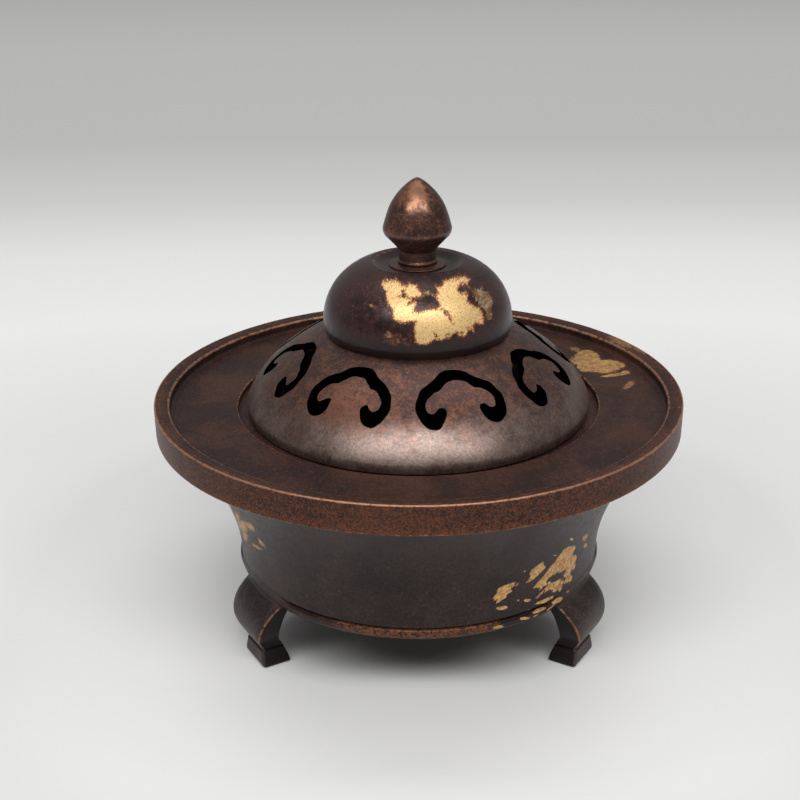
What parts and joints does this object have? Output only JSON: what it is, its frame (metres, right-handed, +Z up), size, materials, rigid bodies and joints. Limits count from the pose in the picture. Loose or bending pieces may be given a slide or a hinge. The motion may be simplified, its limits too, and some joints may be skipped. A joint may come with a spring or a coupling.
{
  "type": "incense burner",
  "caption": "Round copper incense burner on three cabriole legs, with a wide tray rim and a pierced domed lid that lifts off by its bud knob.",
  "frame": {"origin": "on the ground at the centre of the three feet", "axes": "+Z up along the axis of the bowl and lid; the front of the burner faces -Y and one leg stands at the back, on +Y"},
  "size_m": [0.11, 0.11, 0.099],
  "materials": {
    "bowl_patina": "dark brown patinated copper, satin",
    "worn_copper": "patina worn through to copper, satin",
    "rim_patina": "brown patinated copper with fine copper speckle, satin",
    "leg_patina": "dark brown patinated copper, satin",
    "lid_patina": "reddish brown patinated copper, polished by handling",
    "knob_patina": "reddish brown patinated copper, polished by handling",
    "steel": "plain threaded rod",
    "brass": "turned brass",
    "mineral_mat": "matted mineral fibre"
  },
  "bodies": {
    "body": {"bowl": "bowl_patina", "base_band": "worn_copper", "rim_tray": "rim_patina", "leg_front_left": "leg_patina", "leg_front_right": "leg_patina", "leg_back": "leg_patina"},
    "lid": {"lid_dome": "lid_patina", "lid_ring": "lid_patina", "lid_cap": "lid_patina", "knob_collar": "knob_patina", "knob": "knob_patina", "knob_stud": "steel", "knob_washer": "brass", "knob_nut": "brass"},
    "insert": {"fire_mat": "mineral_mat", "incense_stand": "brass"}
  },
  "joints": [
    {"name": "lid_lift", "type": "slide", "parent": "body", "child": "lid", "axis": [0, 0, 1], "range_m": [0, 0.12]},
    {"name": "insert_lift", "type": "slide", "parent": "body", "child": "insert", "axis": [0, 0, 1], "range_m": [0, 0.06]}
  ],
  "couplings": [
    {"joint": "insert_lift", "follows": "lid_lift", "ratio": 0.5}
  ]
}
